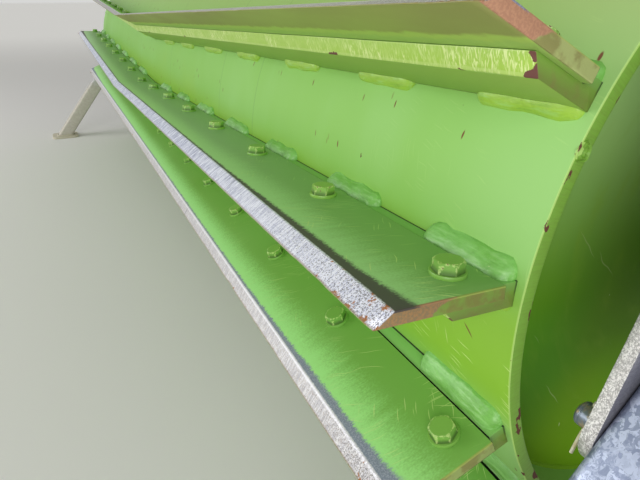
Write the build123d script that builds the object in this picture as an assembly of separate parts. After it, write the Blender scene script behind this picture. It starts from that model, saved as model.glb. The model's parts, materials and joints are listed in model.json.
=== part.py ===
# Paddle rotor of a silage spreader, with the side plates and parking legs that carry it.
# Millimetres. X runs along the rotor, +Y is the side of the parking legs, +Z is up.
# The origin is the centre of the mounting plate's rear face, where the hitch frame bolts on.
import os
from math import cos, radians, sin

from build123d import *

# Drum: a rolled shell, open at both ends, with a disc set back inside each end
drum_length = 2540.0
drum_radius = 294.0
drum_wall = 10.5
disc_recess = 60.0
disc_thickness = 12.0

# Rows of paddles: each row is a shallow V, folded at the middle of the drum
row_count = 15
row_start_angle = -2.55
sweep_angle = 2.25
lean_angle = 5.1
row_offset = -36.3

# Welded bar of one row: the blade is bolted on its seat, against its shoulder
bar_thickness = 11.0
bar_height = 56.0
bar_bevel = 10.5
bar_inset = 5.5
shoulder_height = 7.0
shoulder_gap = 1.0
blade_thickness = 9.5
blade_root_gap = 13.5
blade_width = 92.5
blade_bevel = 13.0
blade_overhang = 1.0

# Stub shafts and their hubs
shaft_radius = 30.0
hub_radius = 62.0
hub_length = 46.0
shaft_inside = 60.0

# Bearings: a flanged housing on the outside of each side plate
bearing_flange_radius = 78.0
bearing_flange_thickness = 14.0
bearing_boss_radius = 54.0
bearing_boss_length = 36.0
bearing_clearance = 0.05
plate_bore_clearance = 6.0

# Side plates: profile-cut, each with a bearing seat, a leg lug and a head for the beam
plate_gap = 40.0
plate_thickness = 10.0
bearing_seat_radius = 100.0
lug_radius = 23.0
plate_edge = 12.0
plate_corner = 18.0
front_edge_lean = 17.2

# Carrying beam, above and behind the drum
beam_size = 100.0
beam_wall = 6.0
beam_corner = 12.0
beam_back = 180.0
beam_up = 470.0

# Mounting plate in the middle of the beam, and its bolt holes
mount_width = 320.0
mount_height = 190.0
mount_thickness = 15.0
mount_hole_radius = 10.5
mount_hole_span = 250.0
mount_hole_rise = 140.0

# Parking legs: a square tube pinned to the lug and again above it
leg_size = 50.0
leg_wall = 4.0
leg_corner = 8.0
leg_lean = 38.5
leg_line = 151.0
pin_up_line = -202.0
pin_spacing = 230.0
leg_above_pin = 38.0
ground_level = -430.0
foot_width = 100.0
foot_length = 110.0
foot_thickness = 8.0

# Clevis pins of the legs
pin_radius = 9.0
pin_head_radius = 13.0
pin_head_length = 8.0
pin_past_plate = 18.5
pin_chamfer = 2.0
pin_clearance = 0.3

# Worked out from the sizes above
half = drum_length / 2
axis_y = beam_back + beam_size / 2 + mount_thickness
axis_z = -beam_up
plate_inner = half + plate_gap
plate_outer = plate_inner + plate_thickness
leg_dir = Vector(0, -sin(radians(leg_lean)), cos(radians(leg_lean)))
leg_out = Vector(0, cos(radians(leg_lean)), sin(radians(leg_lean)))
lug_centre = leg_out * leg_line + leg_dir * pin_up_line
upper_pin = lug_centre + leg_dir * pin_spacing

os.makedirs("parts", exist_ok=True)


def save(shape, node):
    """Put a piece modelled about the rotor's axis into the part's frame and write it."""
    placed = Location((0, axis_y, axis_z)) * shape
    placed.label = node
    export_step(placed, f"parts/{node}.step")


def along_x(radius, start, end, y=0.0, z=0.0):
    """A round bar along X from start to end."""
    bar = Cylinder(radius, end - start, align=(Align.CENTER, Align.CENTER, Align.MIN))
    return Location((start, y, z), (0, 90, 0)) * bar


def box_between(x0, x1, y0, y1, z0, z1):
    """A box given by its faces."""
    size = Box(x1 - x0, y1 - y0, z1 - z0, align=(Align.MIN, Align.MIN, Align.MIN))
    return Location((x0, y0, z0)) * size


def mirrored(shape):
    """The same piece for the other end of the rotor."""
    return mirror(shape, about=Plane.YZ)


def row_plane():
    """Plane of one half row: x along the row, y outward from the drum, z off the blade's face."""
    a, b = radians(sweep_angle), radians(lean_angle)
    normal = Vector(-sin(a) * cos(b), -cos(a) * sin(b), cos(a) * cos(b))
    return Plane(origin=(0, 0, row_offset), x_dir=(cos(a), 0, sin(a)), z_dir=normal)


def folded(half_piece):
    """Cut a half row off at the middle of the drum and join it to its mirror image."""
    reach = 2 * drum_radius + blade_width
    side = half_piece & box_between(0, drum_length, -reach, reach, -reach, reach)
    return side + mirrored(side)


def row_strip(corners, end):
    """A whole row of the given cross-section, folded at the middle of the drum."""
    section = make_face(Polyline(*corners, close=True))
    strip = extrude(Plane(origin=(-20, 0, 0), x_dir=(0, 1, 0), z_dir=(1, 0, 0)) * section, end + 20)
    return folded(row_plane().location * strip)


def make_bar():
    """Shouldered bar of a row, bevelled at its outer face, its foot cut to the shell's curve."""
    end = (half - bar_inset) / cos(radians(sweep_angle))
    low = drum_radius - drum_wall - 5
    shoulder = drum_radius + blade_root_gap - shoulder_gap
    tip = drum_radius + bar_height
    bar = row_strip([(low, -bar_thickness), (tip - bar_bevel, -bar_thickness), (tip, 0),
                     (shoulder, 0), (shoulder, shoulder_height), (low, shoulder_height)], end)
    return bar - along_x(drum_radius, -half, half)


def make_blade():
    """Flat blade of a row, its outer edge bevelled towards the bolted face."""
    end = (half + blade_overhang) / cos(radians(sweep_angle))
    root = drum_radius + blade_root_gap
    tip = root + blade_width
    return row_strip([(root, 0), (tip, 0), (tip - blade_bevel, blade_thickness),
                      (root, blade_thickness)], end)


def make_shell():
    """Rolled shell of the drum."""
    return along_x(drum_radius, -half, half) - along_x(drum_radius - drum_wall, -half - 1, half + 1)


def make_disc():
    """End disc of the drum, bored for the stub shaft."""
    start = half - disc_recess - disc_thickness
    disc = along_x(drum_radius - drum_wall, start, start + disc_thickness)
    return disc - along_x(shaft_radius, start - 1, start + disc_thickness + 1)


def make_hub():
    """Hub on the outside of the end disc."""
    start = half - disc_recess
    hub = along_x(hub_radius, start, start + hub_length)
    return hub - along_x(shaft_radius, start - 1, start + hub_length + 1)


def make_shaft():
    """Stub shaft from inside the disc out through the bearing."""
    start = half - disc_recess - disc_thickness - shaft_inside
    end = plate_outer + bearing_boss_length + 12
    shaft = along_x(shaft_radius, start, end)
    return chamfer(shaft.edges().filter_by(GeomType.CIRCLE).sort_by(Axis.X)[-1], 3)


def make_bearing():
    """Flanged bearing housing on the outside of the side plate."""
    flange = along_x(bearing_flange_radius, plate_outer, plate_outer + bearing_flange_thickness)
    boss = along_x(bearing_boss_radius, plate_outer, plate_outer + bearing_boss_length)
    bore = along_x(shaft_radius + bearing_clearance, plate_outer - 1, plate_outer + bearing_boss_length + 1)
    return flange + boss - bore


def plate_outline():
    """Side plate seen along X: bearing seat, front lug and beam head under one tight outline."""
    lean = radians(front_edge_lean)
    up, out = Vector(0, -sin(lean), cos(lean)), Vector(0, cos(lean), sin(lean))
    head_top = beam_up + beam_size / 2 + plate_edge
    head_back = -beam_back - beam_size / 2 - plate_edge
    rise = (head_top - plate_corner - lug_centre.Z) / up.Z
    front = lug_centre + out * (lug_radius - plate_corner) + up * rise
    rounds = [
        (0, 0, bearing_seat_radius),
        (lug_centre.Y, lug_centre.Z, lug_radius),
        (front.Y, front.Z, plate_corner),
        (head_back + plate_corner, head_top - plate_corner, plate_corner),
        (head_back + plate_corner, beam_up - beam_size / 2 - plate_edge + plate_corner, plate_corner),
    ]
    edges = []
    for y, z, radius in rounds:
        edges += (Location((y, z, 0)) * Circle(radius)).edges()
    return make_hull(edges)


def pin_centres():
    """Centres of the two leg pins."""
    return [lug_centre, upper_pin]


def make_side_plate():
    """Profile-cut side plate with its bearing bore and pin holes."""
    face = Plane(origin=(plate_inner, 0, 0), x_dir=(0, 1, 0), z_dir=(1, 0, 0)) * plate_outline()
    plate = extrude(face, plate_thickness)
    plate -= along_x(shaft_radius + plate_bore_clearance, plate_inner - 1, plate_outer + 1)
    for centre in pin_centres():
        hole = along_x(pin_radius + pin_clearance, plate_inner - 1, plate_outer + 1, centre.Y, centre.Z)
        plate -= hole
    return plate


def make_leg():
    """Parking leg: square tube, cut level at the foot and square at the top."""
    middle = Vector(plate_outer + leg_size / 2, 0, 0) + leg_out * leg_line
    frame = Plane(origin=middle, x_dir=(1, 0, 0), z_dir=leg_dir)
    outer = RectangleRounded(leg_size, leg_size, leg_corner)
    inner = RectangleRounded(leg_size - 2 * leg_wall, leg_size - 2 * leg_wall, leg_corner - leg_wall)
    top = pin_up_line + pin_spacing + leg_above_pin
    bottom = (ground_level - leg_out.Z * leg_line) / leg_dir.Z - leg_size
    tube = extrude(frame.offset(bottom) * (outer - inner), top - bottom)
    for centre in pin_centres():
        tube -= along_x(pin_radius + pin_clearance, plate_outer - 1, plate_outer + leg_size + 1,
                        centre.Y, centre.Z)
    below = box_between(plate_outer - 50, plate_outer + leg_size + 50, -100, 1500,
                        ground_level - 500, ground_level + foot_thickness)
    return tube - below


def make_foot():
    """Foot plate under a parking leg."""
    along = (ground_level + foot_thickness - leg_out.Z * leg_line) / leg_dir.Z
    centre_y = leg_out.Y * leg_line + leg_dir.Y * along
    centre_x = plate_outer + leg_size / 2
    plate = box_between(centre_x - foot_width / 2, centre_x + foot_width / 2,
                        centre_y - foot_length / 2, centre_y + foot_length / 2,
                        ground_level, ground_level + foot_thickness)
    return chamfer(plate.edges().filter_by(Axis.Z), 12)


def make_pins():
    """Clevis pins of one leg, heads outward, ends past the side plate."""
    pins = []
    for centre in pin_centres():
        start, end = plate_inner - pin_past_plate, plate_outer + leg_size
        pin = along_x(pin_radius, start, end, centre.Y, centre.Z)
        pin = chamfer(pin.edges().filter_by(GeomType.CIRCLE).sort_by(Axis.X)[0], pin_chamfer)
        head = along_x(pin_head_radius, end, end + pin_head_length, centre.Y, centre.Z)
        pins.append(pin + head)
    return Compound(pins)


def make_beam():
    """Square carrying beam between the side plates."""
    outer = RectangleRounded(beam_size, beam_size, beam_corner)
    inner = RectangleRounded(beam_size - 2 * beam_wall, beam_size - 2 * beam_wall, beam_corner - beam_wall)
    frame = Plane(origin=(-plate_inner, -beam_back, beam_up), x_dir=(0, 1, 0), z_dir=(1, 0, 0))
    return extrude(frame * (outer - inner), 2 * plate_inner)


def make_mount_plate():
    """Mounting plate on the beam's rear face, with four bolt holes."""
    face_y = -beam_back - beam_size / 2
    plate = box_between(-mount_width / 2, mount_width / 2, face_y - mount_thickness, face_y,
                        beam_up - mount_height / 2, beam_up + mount_height / 2)
    plate = chamfer(plate.edges().filter_by(Axis.Y), 15)
    for x in (-mount_hole_span / 2, mount_hole_span / 2):
        for z in (-mount_hole_rise / 2, mount_hole_rise / 2):
            hole = Cylinder(mount_hole_radius, 4 * mount_thickness)
            plate -= Location((x, face_y, beam_up + z), (90, 0, 0)) * hole
    return plate


# Rotor
save(make_shell(), "drum_shell")
for side, turn in (("far", lambda piece: piece), ("near", mirrored)):
    save(turn(make_disc()), f"end_disc_{side}")
    save(turn(make_hub()), f"hub_{side}")
    save(turn(make_shaft()), f"stub_shaft_{side}")

bar, blade = make_bar(), make_blade()
for row in range(row_count):
    turn = Rotation(row_start_angle + row * 360 / row_count, 0, 0)
    save(turn * bar, f"bar_{row + 1:02d}")
    save(turn * blade, f"blade_{row + 1:02d}")

# Frame that carries the rotor
save(make_beam(), "carrying_beam")
save(make_mount_plate(), "mounting_plate")
for side, turn in (("far", lambda piece: piece), ("near", mirrored)):
    save(turn(make_side_plate()), f"side_plate_{side}")
    save(turn(make_bearing()), f"bearing_{side}")
    save(turn(make_leg()), f"parking_leg_{side}")
    save(turn(make_foot()), f"leg_foot_{side}")
    save(turn(make_pins()), f"leg_pins_{side}")
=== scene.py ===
"""Finish of a silage spreader's paddle rotor: worn green paint, welds, bolts and a galvanised frame.

Lengths are metres in the part's own frame: X along the rotor, +Y towards the parking legs, +Z up.
The rotor's two ends are called far (+X) and near (-X).
"""

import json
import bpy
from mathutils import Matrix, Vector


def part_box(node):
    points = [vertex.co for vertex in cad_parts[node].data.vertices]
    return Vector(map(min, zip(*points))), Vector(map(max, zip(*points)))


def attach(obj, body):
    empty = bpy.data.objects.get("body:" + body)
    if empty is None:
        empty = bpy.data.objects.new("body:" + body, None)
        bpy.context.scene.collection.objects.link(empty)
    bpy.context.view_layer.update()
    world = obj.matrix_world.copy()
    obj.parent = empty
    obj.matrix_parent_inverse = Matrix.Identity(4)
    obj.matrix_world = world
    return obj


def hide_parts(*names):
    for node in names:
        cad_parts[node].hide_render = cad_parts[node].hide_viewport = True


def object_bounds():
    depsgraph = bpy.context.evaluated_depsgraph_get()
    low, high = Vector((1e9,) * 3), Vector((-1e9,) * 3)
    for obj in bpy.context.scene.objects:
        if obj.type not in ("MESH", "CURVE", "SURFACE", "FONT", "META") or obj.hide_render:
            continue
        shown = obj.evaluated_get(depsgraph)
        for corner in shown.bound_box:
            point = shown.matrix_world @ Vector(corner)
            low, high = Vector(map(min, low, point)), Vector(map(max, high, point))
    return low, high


bl_info = {
    "name": "Spreader Rotor Finish",
    "version": (1, 0, 0),
    "blender": (4, 5, 0),
    "location": "3D View > Sidebar > Rotor",
    "description": "Gives a paddle rotor its worn paint, welds, bolts, galvanised frame and studio",
    "category": "Object",
}

from functools import partial
from types import SimpleNamespace

import bpy
import numpy as np
from bpy.props import FloatProperty, FloatVectorProperty, IntProperty, PointerProperty
from bpy.types import Operator, Panel, PropertyGroup
from mathutils import Matrix, Vector

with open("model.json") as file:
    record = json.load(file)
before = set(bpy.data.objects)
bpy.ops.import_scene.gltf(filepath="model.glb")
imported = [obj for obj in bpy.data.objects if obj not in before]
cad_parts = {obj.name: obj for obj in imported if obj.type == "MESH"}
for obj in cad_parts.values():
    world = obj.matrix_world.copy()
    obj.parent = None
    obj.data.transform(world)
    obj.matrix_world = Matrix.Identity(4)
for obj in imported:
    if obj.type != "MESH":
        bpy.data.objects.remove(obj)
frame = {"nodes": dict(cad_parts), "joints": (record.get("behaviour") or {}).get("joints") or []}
CAD_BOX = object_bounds()
AXIS = np.array(frame["joints"][0]["pos_m"], float)
SHELL_LOW, SHELL_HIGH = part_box("drum_shell")
HALF = SHELL_HIGH.x
SHELL_RADIUS = (SHELL_HIGH.y - SHELL_LOW.y) / 2
RIM_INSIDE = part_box("end_disc_far")[1].y - AXIS[1]
ENDS = ("far", "near")

# Parking leg: its lean, its line's distance from the rotor's axis, and places along that line
LEG_LEAN = np.radians(38.5)
LEG_LINE = 0.151
LEG_PINS = (-0.202, 0.028)
LEG_TOP = 0.066
LEG_ALONG = np.array([0, -np.sin(LEG_LEAN), np.cos(LEG_LEAN)])
LEG_OUT = np.array([0, np.cos(LEG_LEAN), np.sin(LEG_LEAN)])

# Where the drum's plates meet, from the middle plane, and the turn of the stops of their seams
SEAMS = (0.208, 0.600, 0.765)
SEAM_TURN = np.radians(23)

# Short names of shader nodes with their operation
SHORT = {"*": "Math.MULTIPLY", "+": "Math.ADD", "-": "Math.SUBTRACT", "/": "Math.DIVIDE",
         "*+": "Math.MULTIPLY_ADD", ">": "Math.GREATER_THAN", "<": "Math.LESS_THAN", "max": "Math.MAXIMUM",
         "min": "Math.MINIMUM", "abs": "Math.ABSOLUTE", "cos": "Math.COSINE", "sin": "Math.SINE",
         "ramp": "MapRange", "ease": "MapRange.SMOOTHSTEP", "dot": "VectorMath.DOT_PRODUCT"}


def linear(code):
    """Linear colour of an sRGB hex code."""
    raw = np.array([int(code[i:i + 2], 16) for i in (1, 3, 5)]) / 255
    return tuple(float(c) for c in np.where(raw <= 0.04045, raw / 12.92, ((raw + 0.055) / 1.055) ** 2.4))


def length(name, description, default):
    """Property for a length in metres."""
    return FloatProperty(name=name, description=description, default=default, unit="LENGTH", precision=4)


def angle(name, description, degrees):
    """Property for an angle, from its degrees."""
    return FloatProperty(name=name, description=description, default=float(np.radians(degrees)),
                         subtype="ANGLE")


def tint(name, description, code):
    """Property for a colour, from its hex code."""
    return FloatVectorProperty(name=name, description=description, default=linear(code),
                               subtype="COLOR", size=3, min=0, max=1)


class PaddleSizes(PropertyGroup):
    """Paddle rows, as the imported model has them"""
    rows: IntProperty(name="Rows", description="Rows round the drum", default=15, min=3)
    first: angle("First row", "Angle of the first row about the axis", -2.55)
    sweep: angle("Sweep", "Angle of a half row to the drum's axis", 2.25)
    lean: angle("Lean", "Angle of a blade to the radius", 5.1)
    offset: length("Offset", "Shift of a row along the drum's round", -0.0363)
    blade_end: length("Blade end", "Half length of a blade along X", 1.271)
    root: length("Blade root", "Blade's inner edge from the drum's middle", 0.3075)
    tip: length("Blade tip", "Blade's outer edge from the drum's middle", 0.4)
    thick: length("Blade thickness", "Thickness of a blade", 0.0095)
    bevel: length("Blade bevel", "Width of the bevel at the outer edge", 0.013)
    bar_end: length("Bar end", "Half length of a bar along X", 1.2645)
    shoulder: length("Shoulder", "Edge of the bar's shoulder from the drum's middle", 0.3065)
    shoulder_rise: length("Shoulder rise", "Height of the shoulder over the blade's seat", 0.007)
    bar_reach: length("Bar reach", "Outer edge of the bar from the drum's middle", 0.350)
    bar_bevel: length("Bar bevel", "How far the outer face leans in", 0.0105)
    bar_depth: length("Bar depth", "Thickness of the bar under the blade's seat", 0.011)


class FastenerSizes(PropertyGroup):
    """Hexagon bolts and their washers"""
    line: length("Bolt line", "Bolts of a blade from the drum's middle", 0.3292)
    end_gap: length("End gap", "Last bolt from the end of the blade", 0.0280)
    steps: IntProperty(name="Steps", description="Bolt pitches on a half row", default=7, min=1)
    across: length("Across flats", "Hexagon across its flats", 0.018)
    head: length("Head height", "Height of a bolt head", 0.0075)
    washer: length("Washer", "Diameter of a washer", 0.0242)
    washer_thick: length("Washer thickness", "Thickness of a washer", 0.0025)


class WeldSizes(PropertyGroup):
    """Welds of the rows and of the drum's ends"""
    upper: length("Upper leg", "Leg of the weld on a bar's blade side", 0.0104)
    lower: length("Lower leg", "Leg of the weld on a bar's other side", 0.0068)
    stitch: length("Stitch", "Length of one stitch", 0.092)
    ring: length("Ring leg", "Leg of the welds round hubs and discs", 0.005)


class PaintLook(PropertyGroup):
    """Green enamel and what shows through and over it"""
    green: tint("Enamel", "Green enamel of drum and bars", "#80BA44")
    lime: tint("Lime", "Yellower, cleaner enamel", "#92BE2E")
    leaf: tint("Blade enamel", "Enamel of the blades, rubbed deeper green", "#78AE4C")
    moss: tint("Greased enamel", "Blade enamel under a trace of grease", "#6FA53A")
    mint: tint("Chalked enamel", "Enamel rubbed thin and chalky", "#90C66A")
    olive: tint("Silage film", "Dried juice on sheltered faces", "#9C9A5C")
    primer: tint("Primer", "Red oxide primer", "#7A4A45")
    rust: tint("Rust", "Fresh rust", "#A96A2C")
    scratch: tint("Scratch", "Shallow scratch in the enamel", "#CBE38E")


class ZincLook(PropertyGroup):
    """Galvanised steel"""
    pale: tint("Pale spangle", "Zinc crystals that catch the light", "#B9C2D8")
    deep: tint("Deep spangle", "Zinc crystals turned away", "#828CA6")
    spangle: length("Spangle", "Size of a zinc crystal on tube", 0.0075)


class StudioLook(PropertyGroup):
    """Floor, light and camera"""
    floor: tint("Floor", "Colour of the floor", "#EFEEEA")
    key: FloatProperty(name="Key", description="Power of the main soft box", default=72, min=0, unit="POWER")
    fill: FloatProperty(name="Fill", description="Power of the second soft box", default=62, min=0,
                        unit="POWER")
    sky: FloatProperty(name="Surround", description="Strength of the even surrounding light",
                       default=0.36, min=0)
    lens: FloatProperty(name="Lens", description="Focal length on a 36 mm wide sensor", default=30.274,
                        unit="CAMERA")


# Shapes


def turns(count):
    """Angles evenly round a circle."""
    return np.linspace(0, 2 * np.pi, count, endpoint=False)


def points(x, y, z):
    """Points from their three coordinates, which are spread to a common shape."""
    return np.stack(np.broadcast_arrays(x, y, z), -1)


def unit(vectors):
    """Vectors over their lengths."""
    return vectors / np.linalg.norm(vectors, axis=-1, keepdims=True)


def rounded(corners, radii, steps=3):
    """Outline with rounded corners. At each corner an arc of that radius touches both sides, and its
    points lie between the two touching points, turned evenly about the arc's centre."""
    corners = np.asarray(corners, float)
    back, ahead = (unit(np.roll(corners, k, -2) - corners) for k in (1, -1))
    radii = np.broadcast_to(radii, corners.shape[:-1])[..., None]
    half = np.arccos(np.clip((back * ahead).sum(-1, keepdims=True), -1, 1)) / 2
    centre = corners + unit(back + ahead) * radii / np.sin(half)
    one, two = ((corners + side * radii / np.tan(half) - centre)[..., None, :] for side in (back, ahead))
    turn = (np.pi - 2 * half)[..., None, :]
    k = np.linspace(0, 1, steps)[:, None]
    arc = (np.sin((1 - k) * turn) * one + np.sin(k * turn) * two) / np.sin(turn)
    return (centre[..., None, :] + arc).reshape(*corners.shape[:-2], -1, corners.shape[-1])


def square(half, corner, steps):
    """Square outline with rounded corners."""
    return rounded(half * np.array([[-1, -1], [1, -1], [1, 1], [-1, 1]]), corner, steps)


def neighbours(rings, looped):
    """Each ring and the one after it, with the last one's next being the first if looped."""
    return (rings, np.roll(rings, -1, 1)) if looped else (rings[:, :-1], rings[:, 1:])


def signed_volume(rings, looped):
    """Volume inside each skin: a sixth of the sum of a.(b x c) over its triangles."""
    a, d = neighbours(rings, looped)
    b, c = np.roll(a, -1, 2), np.roll(d, -1, 2)
    total = (a * np.cross(b, c)).sum((1, 2, 3)) + (a * np.cross(c, d)).sum((1, 2, 3))
    if not looped:
        for ring, sign in ((rings[:, 0], -1), (rings[:, -1], 1)):
            total += sign * (ring[:, :1] * np.cross(ring, np.roll(ring, -1, 1))).sum((1, 2))
    return total / 6


def skin(name, rings, looped=False, sharp=35, **values):
    """Mesh object of one or more closed skins, given as (skins, rings, points, 3). Neighbouring rings are
    joined by quads. A looped skin joins its last ring to its first, and any other has a flat cap on each
    end. A skin with a negative volume has its points reversed, so that its faces look outwards. values are
    numbers per point, kept as attributes."""
    rings = np.array(rings, float)
    rings = rings[None] if rings.ndim == 3 else rings
    shape = rings.shape[:3]
    inside_out = signed_volume(rings, looped) < 0
    rings[inside_out] = rings[inside_out][:, :, ::-1]
    index = np.arange(np.prod(shape)).reshape(shape)
    here, ahead = neighbours(index, looped)
    quads = np.stack([here, np.roll(here, -1, 2), np.roll(ahead, -1, 2), ahead], -1)
    faces = quads.reshape(-1, 4).tolist()
    if not looped:
        faces += index[:, 0, ::-1].tolist() + index[:, -1].tolist()
    mesh = bpy.data.meshes.new(name)
    mesh.from_pydata(rings.reshape(-1, 3), [], faces)
    for key, value in values.items():
        value = np.broadcast_to(value, shape).astype(np.float32)
        value[inside_out] = value[inside_out][:, :, ::-1]
        mesh.attributes.new(key, "FLOAT", "POINT").data.foreach_set("value", value.ravel())
    mesh.shade_smooth()
    mesh.set_sharp_from_angle(angle=np.radians(sharp))
    piece = bpy.data.objects.new(name, mesh)
    bpy.context.scene.collection.objects.link(piece)
    return piece


def settle(piece, body, slot, material, *nodes):
    """Give a piece its finish, let it ride on its body and hide the CAD nodes that it stands for."""
    piece.data.materials.clear()
    piece.data.materials.append(material)
    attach(piece, body)
    if nodes:
        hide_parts(*nodes)


def polar(x, radius, turn, y=AXIS[1], z=AXIS[2]):
    """Points at a radius and a turn about a line along X."""
    return points(x, y + radius * np.cos(turn), z + radius * np.sin(turn))


def turned(profile, *centre, count=96):
    """Rings of a turned shape: each (x, radius) of the profile is carried once round a line along X."""
    x, radius = np.asarray(profile, float).T[..., None]
    return polar(x, radius, turns(count), *centre)


def both_ends(rings):
    """The same skin at the far end and, mirrored in X, at the near end."""
    rings = np.asarray(rings, float)
    return np.stack([rings, rings * (-1, 1, 1)])


def on_row(pad, s, u, v, row, side):
    """Point of a row: s along it from the middle, u outwards from the drum's middle, v off the blade's
    seat. The row's plane leans and sweeps, is mirrored for the near half, and turns with its row."""
    a, b = pad.sweep, pad.lean
    x = s * np.cos(a) - u * np.sin(a) * np.cos(a) * np.sin(b) - v * np.sin(a) * np.cos(b)
    y = u * np.cos(b) - v * np.cos(a) * np.sin(b)
    z = pad.offset + s * np.sin(a) + u * np.cos(a) ** 2 * np.sin(b) + v * np.cos(a) * np.cos(b)
    turn = pad.first + row * 2 * np.pi / pad.rows
    return points(side * x, AXIS[1] + y * np.cos(turn) - z * np.sin(turn),
                  AXIS[2] + y * np.sin(turn) + z * np.cos(turn))


def fold_at(pad, u, v):
    """Distance s at which a point of the section reaches the plane X = 0, where the halves meet."""
    return u * np.sin(pad.sweep) * np.sin(pad.lean) + v * np.tan(pad.sweep) * np.cos(pad.lean)


def foot_at(pad, s, v):
    """Distance u at which the plane of height v meets the drum: the larger root of y2 + z2 = radius2."""
    a, b = pad.sweep, pad.lean
    y, z = -v * np.cos(a) * np.sin(b), pad.offset + s * np.sin(a) + v * np.cos(a) * np.cos(b)
    along_y, along_z = np.cos(b), np.cos(a) ** 2 * np.sin(b)
    both = along_y ** 2 + along_z ** 2
    mixed = y * along_y + z * along_z
    return (-mixed + np.sqrt(mixed ** 2 - both * (y ** 2 + z ** 2 - SHELL_RADIUS ** 2))) / both


def row_skins(pad, stations, sections):
    """Skins of all rows from stations t in -1..1 and a (u, v, s) section at each: negative t is the near
    half, and no point passes the plane where the halves meet."""
    u, v, s = sections
    side = np.where(stations < 0, -1, 1)[:, None]
    return on_row(pad, np.maximum(s, fold_at(pad, u, v)), u, v, np.arange(pad.rows)[:, None, None], side)


def spaced(fine, coarse, span=0.42):
    """Stations -1..1 along a row: close together near both ends and wider apart between them."""
    outer = np.linspace(1 - span, 1, int(span * HALF / fine))
    inner = np.linspace(0, 1 - span, int((1 - span) * HALF / coarse), endpoint=False)
    return np.concatenate([-outer[::-1], -inner[:0:-1], inner, outer])


def edge_wear(t, rows):
    """How far the blade's edge is worn back at stations t: a slow wave of six sines, nicks shaped like
    bell curves, and corners rubbed round over the last 5 mm."""
    rng = np.random.default_rng(7)
    nicks = (rows, 22, 1)
    pitch = np.array([2.3, 5.1, 11, 23, 47, 90])[:, None]
    height = np.array([0.08, 0.08, 0.06, 0.05, 0.04, 0.03])[:, None] * 1e-3
    phase = rng.uniform(0, 2 * np.pi, (rows, 6, 1))
    wave = (height * (1 + np.sin(pitch * np.pi * t + phase))).sum(1)
    place, deep = rng.uniform(-1, 1, nicks), rng.uniform(0.2e-3, 0.9e-3, nicks)
    wide = rng.uniform(0.004, 0.011, nicks) / HALF
    nick = (deep * np.exp(-((t - place) / wide) ** 2)).max(1)
    corner = 0.0007 * np.exp(-(((1 - np.abs(t)) * HALF) / 0.005) ** 2)
    return wave + nick + corner


def hex_bolt(size):
    """Local rings of a washer and a bolt head, as flat points and heights. Round rings have 24 even
    directions, the others four to a flat, close to its corners. Flats lie at across / 2 over the cosine of
    the direction from the flat's middle, and the top is cut by a cone."""
    side = np.radians([-28.9, -14, 14, 28.9])
    even = np.radians(15 * np.arange(24) - 22.5)
    around = (np.radians(60) * np.arange(6)[:, None] + side).ravel()
    washer, half, seat = size.washer / 2, size.across / 2, size.washer_thick
    flat = half / np.cos(np.tile(side, 6))
    top = seat + size.head
    cone = top - np.maximum(flat - 0.984 * half, 0) * 0.58
    rings = [(0.988 * washer, -0.0012), (0.988 * washer, 0), (washer, 0.25 * seat), (washer, 0.75 * seat),
             (0.975 * washer, seat), (flat * 1.005, seat), (flat, seat + 0.0004), (flat, cone),
             (0.972 * half, top), (0.86 * half, top)]
    radius, height = (np.array([np.broadcast_to(ring[k], 24) for ring in rings]) for k in (0, 1))
    turn = np.where(np.isin(np.arange(len(rings)), (5, 6, 7))[:, None], around, even)
    return radius[..., None] * np.stack([np.cos(turn), np.sin(turn)], -1), height


def placed_bolts(name, size, places, normals, seed):
    """Bolts on the given places, each turned by its own angle about its normal."""
    flat, height = hex_bolt(size)
    rng = np.random.default_rng(seed)
    normals = unit(normals)
    first = unit(np.cross(normals, (1, 0, 0) if abs(normals[0, 0]) < 0.9 else (0, 1, 0)))
    spin = rng.uniform(0, np.pi / 3, len(places))[:, None]
    first = first * np.cos(spin) + np.cross(normals, first) * np.sin(spin)
    axes = (first, np.cross(normals, first), normals)
    rings = places[:, None, None] + sum(local[..., None] * axis[:, None, None] for local, axis in
                                        zip((flat[..., 0], flat[..., 1], height), axes))
    # Rings 5 to 7 are the head's side, where every fourth pair of points lies at a corner, and 8 its top
    rubbed, foot = np.zeros((2, *height.shape))
    rubbed[7:9] = 1
    rubbed[5:7, 0::4] = rubbed[5:7, 3::4] = 1
    # foot marks the head's lowest side rings, which the bolt enamel darkens with dirt and painted shade
    foot[5:7] = 1
    shade = rng.uniform(0, 1, len(places))[:, None, None]
    return skin(name, rings, rubbed=rubbed, foot=foot, shade=shade)


def bead(corner, one, two, bulge=1.6):
    """Rings of a fillet weld. corner runs along the joint, one and two reach from it to the weld's toes on
    the two pieces. Between the toes the face follows cos^bulge and sin^bulge of the turn, raised in two soft
    ridges by 1 - cos of four turns."""
    turn = np.linspace(0, np.pi / 2, 7)[:, None]
    one, two = one[..., None, :], two[..., None, :]
    passes = 1 + 0.085 * (1 - np.cos(4 * turn))
    face = passes * (one * np.cos(turn) ** bulge + two * np.sin(turn) ** bulge)
    root = -0.12 * (one + two)
    return corner[..., None, :] + np.concatenate([face, root], -2)


def wire(path, radius, count=10):
    """Rings of a round wire whose path lies square to X: at each point a circle spanned by X and the
    in-plane direction square to the path."""
    ahead = np.array([1.0, 0, 0])
    across = np.cross(ahead, unit(np.gradient(path, axis=-2)))[:, None]
    around = turns(count)[:, None]
    return path[:, None] + radius * (np.cos(around) * ahead + np.sin(around) * across)


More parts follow.
